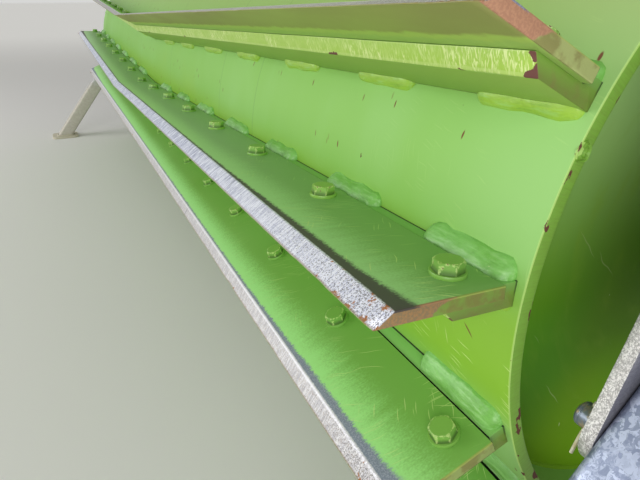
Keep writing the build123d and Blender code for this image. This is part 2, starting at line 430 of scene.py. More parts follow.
def bevelled_copy(name, node, width):
    """Copy of a CAD node with its triangles merged into flat faces and its edges slightly rounded."""
    source = frame["nodes"][node]
    piece = bpy.data.objects.new(name, source.data.copy())
    bpy.context.scene.collection.objects.link(piece)
    bpy.context.view_layer.objects.active = piece
    for other in bpy.context.selected_objects:
        other.select_set(False)
    piece.select_set(True)
    bpy.ops.object.mode_set(mode="EDIT")
    bpy.ops.mesh.select_all(action="SELECT")
    bpy.ops.mesh.remove_doubles(threshold=2e-5)
    bpy.ops.mesh.dissolve_limited(angle_limit=np.radians(0.4))
    bpy.ops.object.mode_set(mode="OBJECT")
    edge = piece.modifiers.new("edge", "BEVEL")
    edge.width, edge.segments, edge.limit_method = width, 2, "ANGLE"
    edge.angle_limit, edge.use_clamp_overlap = np.radians(40), True
    bpy.ops.object.modifier_apply(modifier="edge")
    piece.data.shade_smooth()
    piece.data.set_sharp_from_angle(angle=np.radians(30))
    return piece


# Materials


def add_node(tree, kind, *sockets, out=0, **settings):
    """Add one shader node, by its short name or by its type with its operation after a dot. Sockets come in
    order, or as one dict by place or name: a socket is linked, a hex code is set as its colour, and any
    other value is set as it is. The asked output comes back."""
    kind, _, mode = SHORT.get(kind, kind).partition(".")
    node = tree.nodes.new("ShaderNode" + kind)
    if mode:
        setattr(node, "interpolation_type" if kind == "MapRange" else "operation", mode)
    for key, value in settings.items():
        setattr(node, key, value)
    by_name = sockets and isinstance(sockets[0], dict)
    for key, value in (sockets[0].items() if by_name else enumerate(sockets)):
        socket = node.inputs[key]
        if isinstance(value, bpy.types.NodeSocket):
            tree.links.new(value, socket)
        else:
            value = linear(value) if isinstance(value, str) else value
            socket.default_value = (*value, 1) if socket.type == "RGBA" and len(value) == 3 else value
    return node.outputs[out] if node.outputs else None


def blank(name):
    """Empty material, and the function that adds a node to it."""
    material = bpy.data.materials.new(name)
    material.use_nodes = True
    material.node_tree.nodes.clear()
    return material, partial(add_node, material.node_tree)


def over(add, mask, below, above):
    """Lay one finish (colour, metallic, roughness), or the colour alone, over another where mask is 1."""
    colour = add("Mix", {0: mask, 6: below[0], 7: above[0]}, out=2, data_type="RGBA")
    return (colour, *(one if one == two else add("Mix", {0: mask, 2: one, 3: two})
                      for one, two in zip(below[1:], above[1:])))


def close(material, finish, height=None, **fixed):
    """Shader of a finish, with a bump whose height is in metres."""
    add = partial(add_node, material.node_tree)
    sockets = dict(zip(("Base Color", "Metallic", "Roughness"), finish))
    if height is not None:
        sockets["Normal"] = add("Bump", {"Strength": 1, "Distance": 1, "Height": height})
    sockets.update({key.replace("_", " "): value for key, value in fixed.items()})
    add("OutputMaterial", add("BsdfPrincipled", sockets))
    return material


def cylinder_axes(add):
    """Coordinates about the rotor's axis: place, x, end as the distance from the middle plane, angle,
    radius, and a chart of x, arc and radius."""
    place = add("TexCoord", out="Object")
    x, y, z = add("SeparateXYZ", add("VectorMath.SUBTRACT", place, tuple(AXIS))).node.outputs[:3]
    around = add("Math.ARCTAN2", z, y)
    radius = add("VectorMath.LENGTH", add("CombineXYZ", 0, y, z), out="Value")
    chart = add("CombineXYZ", x, add("*", around, SHELL_RADIUS), radius)
    return SimpleNamespace(place=place, x=x, end=add("abs", x), angle=around, radius=radius, chart=chart)


def row_axes(add, pad):
    """Coordinates of the nearest row: s, u, v as in on_row, a lot between 0 and 1 for each row, and a chart
    of x, u and v that differs from row to row."""
    at = cylinder_axes(add)
    pitch = 2 * np.pi / pad.rows
    low = np.radians(-10)
    from_first = add("-", at.angle, pad.first)
    local = add("Math.WRAP", from_first, low + pitch, low)
    row = add("Math.FLOOR", add("/", add("-", from_first, low), pitch))
    y, z = (add("*", at.radius, add(part, local)) for part in ("cos", "sin"))
    arm = add("CombineXYZ", at.end, y, add("-", z, pad.offset))
    a, b = pad.sweep, pad.lean
    normal = np.array([-np.sin(a) * np.cos(b), -np.cos(a) * np.sin(b), np.cos(a) * np.cos(b)])
    along = np.array([np.cos(a), 0, np.sin(a)])
    at.s, at.u, at.v = (add("dot", arm, tuple(way), out="Value")
                        for way in (along, np.cross(normal, along), normal))
    at.lot = add("Math.FRACT", add("*", row, 0.618))
    at.chart = add("CombineXYZ", at.x, at.u, add("*+", row, 0.37, at.v))
    return at


def noise(add, chart, scale, detail=2.0, stretch=None, shift=0.0, distortion=0.0, roughness=0.5):
    """Cloudy value between 0 and 1, about scale features per metre, drawn out where stretch is small."""
    chart = add("Mapping", {0: chart, 1: (shift, 1.7 * shift, 2.3 * shift), 3: stretch or (1, 1, 1)})
    return add("TexNoise", {"Vector": chart, "Scale": scale, "Detail": detail, "Roughness": roughness,
                            "Distortion": distortion})


def strokes(add, chart, turn, cell, wide, long, share, shift):
    """Short single scratches: thin ellipses about the points of drawn-out cells, turned in the chart's plane
    and slightly bent, in a share of the cells, and gathered in clusters a hand wide. cell is the cells'
    width, wide and long are the half axes of a scratch, all in metres."""
    c, s = float(np.cos(turn)), float(np.sin(turn))
    along = add("dot", chart, (c, s, 5), out="Value")
    across = add("dot", chart, (-s, c, 0), out="Value")
    across = add("*+", noise(add, chart, 45, 1, None, shift), 0.007, across)
    spot = add("CombineXYZ", add("*+", along, wide / long, shift), across, 0)
    cells = add("TexVoronoi", {"Vector": spot, "Scale": 1 / cell}, voronoi_dimensions="2D")
    line = add("ease", cells, 0.7 * wide / cell, 1.4 * wide / cell, 1, 0)
    pick = add("SeparateXYZ", cells.node.outputs["Color"])
    pick = add("<", pick, share)
    gate = add("ease", noise(add, chart, 13, 2, None, shift + 3), 0.44, 0.54)
    return add("*", line, add("*", pick, gate))


def orange_peel(add, chart, deep, scale=480):
    """Height of the fine dimples of sprayed enamel."""
    return add("*", noise(add, chart, scale, 1), deep)


def flakes(add, chart, scale, low, shift, stretch=None):
    """Jagged spots where a rough noise climbs over low."""
    field = noise(add, chart, scale, 5, stretch, shift, 0, 0.65)
    return add("ramp", field, low, low + 0.012)


def enamel(add, base, mint, lime, chart, shift=0.0):
    """Sprayed enamel that has chalked and darkened in soft clouds a hand wide."""
    cloud = noise(add, chart, 3.2, 3, None, shift)
    base = (base, 0.0, 0.5)
    pale = add("ease", cloud, 0.5, 0.78, 0, 0.55)
    warm = add("ease", cloud, 0.46, 0.22, 0, 0.7)
    coat = over(add, pale, base, (mint, 0, 0.5))
    return over(add, warm, coat, (lime, 0, 0.5))


def shell_enamel(look):
    """Two-part enamel sprayed on rolled plate: soft gloss and orange peel of 2 mm, painted lime-yellow
    bounce light and shade in bays along the arc, where short scratches and rust-brown strokes gather towards
    the ends, dusted pale on what looks up, a thin dark line at each seam, and chips to the primer. The cut
    rim is duller, with ridges of the torch 1.6 mm apart, paint knocked off its outer arris and a pale
    painted highlight along that arris."""
    material, add = blank("enamel_on_rolled_plate")
    at = cylinder_axes(add)
    chart = at.chart
    coat = enamel(add, look.green, look.mint, look.lime, chart, 4)
    dusty = noise(add, chart, 14, 4, (1, 0.35, 1), 2)
    coat = over(add, add("ease", dusty, 0.45, 0.85, 0, 0.35), coat, (look.mint, 0, 0.55))
    near = add("ease", at.end, 0.95, HALF, 0.08, 0.75)
    coat = over(add, add("ease", at.end, 1.12, HALF, 0, 0.45), coat, ("#A4D48C", 0, 0.5))
    # Painted bounce light and shade: lime-yellow bays along the arc
    lime_bounce_and_shade = add("ease", add("cos", add("*+", at.angle, 6, 0.6)), 0, 0.9, 0, 0.9)
    coat = over(add, lime_bounce_and_shade, coat, ("#86B826", 0, 0.5))
    upward = add("ease", add("sin", at.angle), 0.38, 0.75, 0, 0.62)
    coat = over(add, upward, coat, ("#AEB680", 0, 0.6))
    hair = add("max", strokes(add, chart, 1.35, 0.0034, 0.00042, 0.008, 0.34, 1),
               strokes(add, chart, 0.25, 0.003, 0.00036, 0.006, 0.34, 8))
    hair = add("*", hair, near)
    hair = add("*", hair, add("ramp", lime_bounce_and_shade, 0, 0.8, 0.15, 1))
    coat = over(add, hair, coat, (look.scratch, 0, 0.5))
    chip = flakes(add, chart, 22, 0.74, 5, (1, 0.55, 1))
    coat = over(add, chip, coat, (look.primer, 0, 0.75))
    seams = [add("abs", add("-", at.end, place)) for place in SEAMS]
    line = add("ease", add("min", add("min", *seams[:2]), seams[2]), 0.0002, 0.0016, 0.38, 0)
    coat = over(add, line, coat, ("#4F7A34", 0, 0.5))
    nearer = add("*", add("ramp", at.end, 1.1, 1.2), lime_bounce_and_shade)
    runs = add("*", strokes(add, chart, 0.75, 0.01, 0.0008, 0.0055, 0.26, 15), nearer)
    runs = add("max", runs, strokes(add, chart, 1.57, 0.016, 0.0009, 0.003, 0.28, 21))
    coat = over(add, runs, coat, ("#74482E", 0, 0.8))
    rim = add(">", at.end, HALF - 0.0004)
    torch = noise(add, add("CombineXYZ", 0, add("*", at.angle, SHELL_RADIUS), at.radius), 620, 2,
                  (1, 1, 0.12))
    edge_coat = over(add, add("ease", torch, 0.35, 0.7, 0, 0.35), ("#76A638", 0, 0.5), ("#6E8C34", 0, 0.6))
    coat = over(add, rim, coat, edge_coat)
    # Pale painted highlight along the rim's outer arris
    arris = add(">", at.radius, SHELL_RADIUS - 0.001)
    lip = add("*", add("ramp", at.end, HALF - 0.001, HALF - 0.0005, 0, 0.6), arris)
    coat = over(add, lip, coat, ("#BCE07C", 0, 0.45))
    worn = add("ramp", at.end, HALF - 0.004, HALF - 0.0005, 0, 0.155)
    inner = add("ramp", at.radius, SHELL_RADIUS - 0.008, SHELL_RADIUS - 0.0102, 0, 0.05)
    level = add("+", add("+", noise(add, chart, 110, 4, (1, 0.5, 1), 6), worn), inner)
    knock = add("ramp", level, 0.765, 0.78)
    coat = over(add, knock, coat, ("#5E3226", 0, 0.8))
    inside = add("<", at.radius, SHELL_RADIUS - 0.0101)
    coat = over(add, inside, coat, ("#7AAC4C", 0, 0.5))
    height = orange_peel(add, chart, 2e-5)
    height = add("*+", noise(add, chart, 9, 1, (1, 1.5, 1)), 6e-4, height)
    height = add("*+", add("*", torch, rim), 2.2e-4, height)
    return close(material, coat, add("*+", add("max", chip, knock), -1.2e-4, height))


def disc_enamel(look):
    """Enamel on the sheltered end discs: deep green, darker round the hub with painted shade and paler in
    the upper half with painted light, with faint yellower arcs round the axis, a few scratches and stone
    chips."""
    material, add = blank("enamel_on_end_disc")
    at = cylinder_axes(add)
    place = at.place
    coat = over(add, add("ease", noise(add, place, 4.5, 2, None, 3), 0.35, 0.7), ("#559608", 0, 0.6),
                ("#6C9A04", 0, 0.65))
    # Painted shade: darker round the hub
    hub_shade = add("ease", at.radius, 0.2, 0.08, 0, 0.3)
    coat = over(add, hub_shade, coat, ("#4A7014", 0, 0.5))
    # Painted light: paler towards the top
    above = add("SeparateXYZ", place).node.outputs["Z"]
    upper_light = add("ease", above, float(AXIS[2]) - 0.05, float(AXIS[2]) + 0.16, 0, 0.92)
    coat = over(add, upper_light, coat, ("#A6CE80", 0, 0.6))
    # Faint yellower arcs round the axis
    arcs = add("CombineXYZ", at.x, at.radius, add("*", at.angle, 0.05))
    faint_arcs = noise(add, arcs, 60, 3, (1, 1, 1), 1)
    coat = over(add, add("ease", faint_arcs, 0.5, 0.8, 0, 0.3), coat, ("#84A828", 0, 0.5))
    flat = add("CombineXYZ", *add("SeparateXYZ", place).node.outputs[1:3], 0)
    coat = over(add, strokes(add, flat, 0.9, 0.012, 0.0005, 0.016, 0.4, 2), coat, ("#8FAE5A", 0, 0.5))
    nicks = flakes(add, place, 120, 0.725, 9, (1, 1, 0.5))
    coat = over(add, nicks, coat, ("#B9C98C", 0, 0.6))
    coat = over(add, flakes(add, place, 40, 0.76, 4), coat, (look.primer, 0, 0.8))
    return close(material, coat, orange_peel(add, place, 2.5e-5, 420), Specular_IOR_Level=0.25)


def bar_enamel(look, pad):
    """Enamel over saw-cut flat bar: the outer face is clean and yellowish between two pale edges, with the
    saw's marks 2 to 4 mm apart across it and chips to the primer at its lower edge and its ends. The sawn
    ends are olive and brown, the underside is yellower, and a near-black line of dirt and painted shade runs
    along foot and seat where no weld closes them."""
    material, add = blank("enamel_on_sawn_bar")
    at = row_axes(add, pad)
    u, v, chart = at.u, at.v, at.chart
    coat = enamel(add, look.green, look.mint, look.lime, chart, 1.5)
    reach = add("-", u, add("*", v, pad.bar_bevel / pad.bar_depth))
    outer = add("ramp", reach, pad.bar_reach - 0.0012, pad.bar_reach - 0.0006)
    saw = noise(add, chart, 620, 4, (1, 0.22, 0.22), 2, 1)
    patchy = add("ease", noise(add, chart, 28, 3, (1, 1, 1), 3), 0.38, 0.62, 0.15, 0.9)
    marks = add("ease", saw, 0.48, 0.6)
    face = over(add, add("*", marks, patchy), ("#A6CA4E", 0, 0.4), ("#DDEBA0", 0, 0.4))
    rims = add("max", add("<", v, 0.0016 - pad.bar_depth), add(">", v, -0.0012))
    face = over(add, add("*", rims, 0.45), face, ("#C6DC86", 0, 0.4))
    below = add("ramp", v, -pad.bar_depth + 0.0008, -pad.bar_depth + 0.0002, 0, 0.6)
    coat = over(add, below, coat, ("#AEBC64", 0, 0.5))
    crown = add("ramp", v, 0.0005, 0.0015, 0, 0.35)
    coat = over(add, crown, coat, ("#7CB87C", 0, 0.5))
    coat = over(add, outer, coat, face)
    end = add("ramp", at.end, pad.bar_end - 0.0016, pad.bar_end - 0.0008)
    coat = over(add, end, coat,
                over(add, add("ease", noise(add, chart, 160, 3), 0.45, 0.75, 0, 0.5), ("#6E8434", 0, 0.55),
                     ("#7A6E3E", 0, 0.7)))
    low = add("ramp", v, -pad.bar_depth + 0.0045, -pad.bar_depth, 0, 0.1)
    tail = add("ramp", at.end, pad.bar_end - 0.014, pad.bar_end, 0, 0.34)
    level = add("+", add("+", noise(add, chart, 60, 5, (0.6, 1, 1), 9), low), tail)
    knock = add("*", add("ramp", level, 0.735, 0.745), outer)
    coat = over(add, knock, coat, ("#6E433C", 0, 0.8))
    # Near-black lines of dirt and painted shade along the bar's foot and the blade's seat
    gap = add("ramp", at.radius, SHELL_RADIUS + 0.0018, SHELL_RADIUS + 0.0012, 0, 0.95)
    gap = add("*", gap, add("ramp", end, 0, 1, 1, 0.45))
    gap = add("*", gap, add("ramp", v, -0.003, 0, 0.3, 1))
    seat = add(">", u, pad.shoulder - 0.0007)
    above = add(">", v, 0.0003)
    gap = add("max", gap, add("*", seat, above))
    coat = over(add, gap, coat, ("#151C10", 0, 0.9))
    height = add("*+", add("*", saw, outer), 2e-4, orange_peel(add, chart, 2.5e-5))
    return close(material, coat, add("*+", knock, -1.5e-4, height))


def blade_enamel(look, pad):
    """Wear blade of tempered steel in enamel whose tone differs from blade to blade: silage has polished
    the bevelled edge to bright pitted steel, the next few millimetres to a speckled dull grey with a ragged
    border, and thinned and chalked the paint beyond in streaks. The worn steel carries a painted reflection
    that differs by row, with a painted glint and a painted highlight on the bevel. Rust starts at the
    corners, and the torch-cut ends have lost paint down to primer."""
    material, add = blank("enamel_on_wear_blade")
    at = row_axes(add, pad)
    u, v, chart, lot = at.u, at.v, at.chart, at.lot
    near = add("ease", at.end, 0.7, HALF)
    coat = enamel(add, look.leaf, "#86BC62", look.moss, chart, 6)
    chalky = add("ramp", lot, 0.3, 0)
    chalky = add("*", chalky, add("ramp", near, 0, 1, 0.5, 0.12))
    coat = over(add, chalky, coat, ("#A4C3A4", 0, 0.5))
    fresh = add("ramp", lot, 0.4, 0.65, 0, 0.5)
    coat = over(add, fresh, coat, ("#68B038", 0, 0.45))
    # Streaks across the edge, 3 to 8 mm apart, that draw the wear inwards
    streak = noise(add, chart, 150, 3, (1, 0.06, 0.2), 1, 0.2)
    fine = noise(add, chart, 700, 2, (1, 0.05, 0.2), 2)
    unworn = add("Attribute", out="Fac", attribute_name="unworn")
    inward = add("-", pad.tip - pad.bevel, unworn)
    top = add(">", v, pad.thick - 0.0012)
    under = add("<", v, 0.0004)
    swing = add("ramp", near, 0, 1, 0.004, 0.022)
    dots = noise(add, chart, 900, 3, (1, 0.6, 0.6), 17)
    reach = inward
    for part, size in ((streak, swing), (fine, add("*", swing, 0.5)), (dots, 0.03)):
        reach = add("*+", add("-", part, 0.5), size, reach)
    thin = add("*", add("ease", reach, add("*+", near, 0.016, 0.036), 0.008, 0, 0.85), top)
    chalk = over(add, add("ramp", lot, 0, 0.6), ("#A8DE90",), ("#A8F58A",))[0]
    coat = over(add, thin, coat, (chalk, 0, 0.4))
    hair = add("max", strokes(add, chart, 0.9, 0.0026, 0.00026, 0.011, 0.45, 4),
               strokes(add, chart, 1.35, 0.0022, 0.00022, 0.007, 0.45, 12))
    hair = add("max", hair, strokes(add, chart, -0.5, 0.0034, 0.0003, 0.006, 0.35, 5))
    hair = add("*", hair, add("ramp", near, 0, 1, 0.15, 0.75))
    coat = over(add, hair, coat, (look.scratch, 0, 0.5))
    # Dull film on the underside, clean again beside the bar, painted paler there as light against the shade
    film = add("ease", noise(add, chart, 9, 4, (0.4, 1, 1), 7), 0.25, 0.6, 0.55, 0.95)
    edge = add("*+", noise(add, chart, 70, 3, None, 8), 0.01, u)
    film = add("*", film, add("ease", edge, pad.bar_reach + 0.0165, pad.bar_reach + 0.0215))
    coat = over(add, add("*", under, 0.8), coat, ("#B4D070", 0, 0.5))
    # Painted highlight along the film's edge
    film_edge_highlight = add("ease", edge, pad.bar_reach + 0.01, pad.bar_reach + 0.0145, 0, 0.6)
    coat = over(add, add("*", film_edge_highlight, under), coat, ("#C0D468", 0, 0.5))
    coat = over(add, add("*", film, under), coat, (look.olive, 0, 0.6))
    # Torch-cut ends: primer and rust brown outside, olive paint inside, parted by a ragged line
    end = add("ramp", at.s, *((pad.blade_end - back) / np.cos(pad.sweep) for back in (0.0016, 0.0007)))
    speck = noise(add, chart, 260, 4, None, 3)
    olive, ruddy, pink = (over(add, lot, (one,), (two,))[0] for one, two in
                          (("#7A983C", "#C4C888"), ("#8A7654", "#C78A72"), ("#A07C50", "#D09A80")))
    inner = over(add, add("ease", noise(add, chart, 70, 4, None, 3.5), 0.46, 0.58, 0, 0.65),
                 (olive, 0, 0.55), ("#80743E", 0, 0.75))
    outer = over(add, add("ease", noise(add, chart, 620, 3, None, 5), 0.4, 0.62), (ruddy, 0, 0.75),
                 (pink, 0, 0.7))
    line = add("*+", noise(add, chart, 45, 5, None, 6), 0.04, u)
    line = add("*+", v, 1.3, line)
    face = over(add, add("ramp", line, 0.38, 0.382), inner, outer)
    # Thin lighter line along the end face's top arris: worn paint and a painted highlight
    arris = add("*", add(">", v, pad.thick - 0.0009), 0.6)
    face = over(add, arris, face,
                (over(add, add("ramp", line, 0.378, 0.384), ("#A9BC5A",), ("#A87C58",))[0], 0, 0.6))
    coat = over(add, end, coat, face)
    # Dull worn steel beside the bevel, wider towards the ends, in a painted reflection: dark or sky
    # blue-grey by row
    flare = add("ramp", at.end, 1.195, 1.275)
    flare = add("*+", add("*", flare, flare), 0.008, 0.0035)
    band = add("*+", add("*", near, near), add("*+", lot, -0.002, 0.0068), flare)
    ragged = inward
    for part, size in ((streak, 0.003), (dots, 0.007), (fine, 0.004)):
        ragged = add("*+", add("-", part, 0.5), size, ragged)
    dull = add("*", add("ease", add("/", ragged, band), 1.2, 0.75, 0, 0.97), top)
    sky_reflection_rows = add("ramp", lot, 0, 0.4)
    shade = over(add, sky_reflection_rows, ("#45423E",), ("#757C90",))[0]
    sand = add("ramp", noise(add, chart, 1300, 2, (1, 0.6, 0.6), 27), 0.46, 0.62, 0, 0.5)
    shade = over(add, add("*", sand, sky_reflection_rows), (shade,), ("#B4B8C6",))[0]
    coat = over(add, dull, coat, (shade, 0, 0.55))
    # Bright bevel: fine cross streaks, pits and rust that gather towards the corners, in a painted sky tint
    # and glint
    beyond = add("*+", v, pad.bevel / pad.thick, unworn)
    wavy = add("*+", fine, 0.0012, beyond)
    bright = add("ramp", wavy, pad.tip - 0.0012, pad.tip - 0.0002)
    bright = add("*", bright, add("ramp", v, 0.0002, 0.0008, 0.25, 1))
    # Near-black line at the blade's root: dirt and painted shade in the gap to the shoulder
    inner = add("<", u, pad.root + 0.0004)
    coat = over(add, inner, coat, ("#151C10", 0, 0.9))
    steel = over(add, add("ramp", fine, 0.36, 0.62), ("#9AA0BE",), ("#EFF2FF",))[0]
    painted_glint = add("*", near, add("-", 1, sky_reflection_rows))
    grit = add("ramp", noise(add, chart, 1300, 2, (1, 0.6, 0.6), 21), 0.42, 0.58, 0.85, 0.25)
    steel = over(add, add("*", painted_glint, grit), (steel, 0.35, 0.45), ("#F6F7FF", 0.2, 0.45))
    steel = over(add, add("*", sky_reflection_rows, 0.6), steel, ("#C2BCB0", 0.2, 0.5))
    earthy = add("ramp", noise(add, chart, 800, 3, (1, 0.6, 0.6), 31), 0.5, 0.62, 0, 0.45)
    steel = over(add, add("*", earthy, sky_reflection_rows), steel, ("#9C8C7C", 0.1, 0.6))
    gashes = add("ramp", noise(add, chart, 110, 1, (1, 0.05, 0.2), 9), 0.72, 0.76, 0, 0.7)
    steel = over(add, gashes, steel, ("#6B6C70", 0.6, 0.5))
    corner = add("ease", at.end, 1.02, HALF)
    pit = noise(add, chart, 1150, 1, (1, 0.75, 0.75), 11)
    pit = add("*+", corner, 0.14, pit)
    pit = add("ramp", pit, 0.69, 0.74, 0, 0.85)
    steel = over(add, add("*", pit, 0.85), steel, ("#605A58", 0.2, 0.7))
    tail = add("ease", at.end, 1.15, HALF, 0, 0.17)
    lip = add("ramp", v, 0.0035, 0, 0, 0.1)
    rusty = add("+", noise(add, chart, 110, 5, None, 13, 0, 0.6), tail)
    rusty = add("+", rusty, lip)
    rusty = add("ramp", rusty, 0.72, 0.76, 0, 0.95)
    steel = over(add, rusty, steel, (look.rust, 0, 0.85))
    brown = add("ramp", v, 0.0016, 0.0007, 0, 0.65)
    steel = over(add, brown, steel, ("#8C6E50", 0, 0.7))
    # Painted highlight: a pale line along the bevel's crest on the blue-grey rows
    crest = add("ramp", v, pad.thick - 0.0016, pad.thick - 0.001, 0, 0.55)
    crest = add("*", crest, sky_reflection_rows)
    steel = over(add, crest, steel, ("#F4F5FC", 0.2, 0.4))
    coat = over(add, bright, coat, steel)
    chip = flakes(add, chart, 30, 0.755, 15, (0.6, 1, 1))
    chip = add("*", chip, add("-", 1, bright))
    coat = over(add, chip, coat, (look.primer, 0, 0.8))
    height = orange_peel(add, chart, 2e-5)
    for part, where, size in ((fine, bright, 1.2e-4), (pit, bright, -2e-4), (speck, end, 2e-4)):
        height = add("*+", add("*", part, where), size, height)
    return close(material, coat, height)


def weld_enamel(look, pad):
    """Enamel over welds: it lies thin on the lumpy ripples, about 3 mm apart, with painted highlights on
    their crests and painted shade in their creases, and is yellower under the bar than on the blades' side."""
    material, add = blank("enamel_on_weld_bead")
    at = row_axes(add, pad)
    place = at.place
    cloud = noise(add, place, 38, 4, (0.5, 1, 1))
    coat = over(add, add("ease", cloud, 0.35, 0.65), ("#70B048", 0, 0.4), ("#86C468", 0, 0.36))
    under = add("ramp", at.v, 0, -0.004)
    coat = over(add, under, coat, ("#A0C848", 0, 0.4))
    # Painted highlights in pale streaks and painted shade in dark streaks along the bead
    ridge_light_and_shade = noise(add, at.chart, 320, 4, (0.14, 1, 1), 5, 0.3)
    coat = over(add, add("ramp", ridge_light_and_shade, 0.53, 0.66, 0, 0.38), coat, ("#A8DC8C", 0, 0.35))
    coat = over(add, add("ramp", ridge_light_and_shade, 0.44, 0.37, 0, 0.22), coat, ("#5C9A3C", 0, 0.5))
    coat = over(add, flakes(add, place, 90, 0.7, 2), coat, (look.scratch, 0, 0.6))
    crease = noise(add, at.chart, 200, 3, (0.16, 1, 1), 1)
    lump = add("*", noise(add, place, 60, 3), 0.0026)
    return close(material, coat, add("*+", crease, 0.0007, lump))


def bolt_enamel(look):
    """Bolts painted in place: the spanner has rubbed the corners of the heads to pale scratches and
    primer, dirt and painted shade darken the foot of each head, and each has its own shade of green."""
    material, add = blank("enamel_on_hex_bolt")
    place = add("TexCoord", out="Object")
    rubbed, foot, shade = (add("Attribute", out="Fac", attribute_name=name)
                           for name in ("rubbed", "foot", "shade"))
    coat = over(add, add("ramp", shade, 0, 1, 0.15, 0.85), ("#6FA546", 0, 0.4), ("#8CBA50", 0, 0.38))
    # Dirt and painted shade darken the foot of each head
    coat = over(add, add("ease", foot, 0.35, 1, 0, 0.72), coat, ("#3C5A24", 0, 0.6))
    worn = add("*+", rubbed, 0.6, noise(add, place, 420, 4, None, 2))
    coat = over(add, add("ramp", worn, 1.03, 1.1, 0, 0.6), coat, (look.scratch, 0, 0.5))
    worn = add("*+", rubbed, -0.46, worn)
    worst = add("*+", shade, 0.07, worn)
    coat = over(add, add("ramp", worst, 0.8, 0.82), coat, ("#7B5A48", 0, 0.8))
    return close(material, coat, add("*", noise(add, place, 700, 2), 8e-5))


def zinc(name, look, size, pale, deep, beside=False):
    """Hot-dip galvanised steel: feathered zinc crystals of the given size and angular shards among them,
    each with its own tone and gloss, under clouds of grime and mud splashed up from the ground. beside
    adds painted shade on the plates' outer face along the leg that slides there."""
    material, add = blank(name)
    place = add("TexCoord", out="Object")
    x, _, z = add("SeparateXYZ", place).node.outputs[:3]
    shake = add("TexNoise", {"Vector": place, "Scale": 1.3 / size, "Detail": 3}, out="Color")
    shake = add("VectorMath.SUBTRACT", {0: shake, 1: (0.5, 0.5, 0.5)})
    shaken = add("VectorMath.SCALE", {0: shake, "Scale": 1.4 * size})
    spot = add("VectorMath.ADD", place, shaken)
    tone = add("TexVoronoi", {"Vector": spot, "Scale": 1 / size}, out="Color")
    tone = add("SeparateXYZ", tone)
    feather = noise(add, spot, 3.4 / size, 6, (1, 0.45, 1), 3, 0.9, 0.6)
    mixed = add("*+", feather, 0.9, add("*", tone, 0.35))
    crisp = add("ramp", mixed, 0.665, 0.69, 0, 0.35)
    share = add("+", add("ramp", mixed, 0.4, 0.8, 0, 0.45), crisp)
    shard = add("TexVoronoi", {"Vector": spot, "Scale": 2.6 / size}, out="Color")
    shard = add("SeparateXYZ", shard)
    share = add("+", share, add("ramp", shard, 0, 1, -0.16, 0.22), use_clamp=True)
    facet = add("VectorMath.SCALE", {0: shake, "Scale": 0.35 * size})
    facet = add("VectorMath.ADD", place, facet)
    facet = add("Mapping", {0: facet, 2: (0.6, 0.4, 0.9), 3: (1, 0.4, 0.8)})
    facet = add("TexVoronoi", {"Vector": facet, "Scale": 2.3 / size}, out="Color", distance="MANHATTAN")
    facet = add("SeparateXYZ", facet)
    light = add("ramp", facet, 0.7, 0.72, 0, 0.85)
    light = add("*", light, add("ramp", feather, 0.42, 0.5, 0.15, 1))
    share = add("+", share, light, use_clamp=True)
    share = add("*", share, add("ramp", facet, 0.18, 0.2, 0.15, 1))
    colour = over(add, share, (deep,), (pale,))[0]
    rough = add("ramp", tone, 0, 1, 0.34, 0.58)
    grime = add("ease", noise(add, place, 7, 4, None, 5), 0.5, 0.8, 0, 0.35)
    grime = add("max", grime, add("ease", z, -0.57, -0.7, 0, 0.75))
    coat = over(add, grime, (colour, 0.62, rough), ("#CAC2AA", 0.1, 0.7))
    if beside:
        # Painted shade on the plate's outer face, in the narrow wedge along the leg tube
        arm = add("VectorMath.SUBTRACT", place, tuple(AXIS))
        off = add("abs", add("-", add("dot", arm, tuple(LEG_OUT), out="Value"), LEG_LINE))
        depth = add("abs", add("-", add("abs", x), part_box("side_plate_far")[1].x))
        tube_shade = add("*", add("ease", off, 0.07, 0.03, 0.25, 0.9), add("<", depth, 2e-4))
        coat = over(add, tube_shade, coat, ("#5C5C68", 0.3, 0.6))
    return close(material, coat, add("*", mixed, 6e-5))


def plain_metal(name, colour, worn, metallic, roughness, scale, bump):
    """Small steel part: a base tone clouded with a second one."""
    material, add = blank(name)
    place = add("TexCoord", out="Object")
    cloud = noise(add, place, scale, 4)
    coat = over(add, add("ease", cloud, 0.42, 0.66), (colour, metallic, roughness),
                (worn, metallic * 0.6, min(roughness + 0.2, 1)))
    return close(material, coat, add("*", cloud, bump))


def floor_paint(look):
    """Matt studio floor, with clouds too faint to be seen as a pattern."""
    material, add = blank("matt_floor_paint")
    place = add("TexCoord", out="Object")
    shade = tuple(0.96 * c for c in look.floor)
    coat = over(add, noise(add, place, 0.8, 2), (look.floor, 0, 0.9), (shade, 0, 0.9))
    glow = add("ease", add("VectorMath.LENGTH", place, out="Value"), 1.5, 9, 0, 0.34)
    glow = add("*", glow, add("LightPath", out="Is Camera Ray"))
    return close(material, coat, Emission_Color=look.floor, Emission_Strength=glow)


# Operators


class Step:
    """What all steps share: build makes the pieces of one step in the scene."""

    def execute(self, context):
        self.build(context.scene)
        return {"FINISHED"}


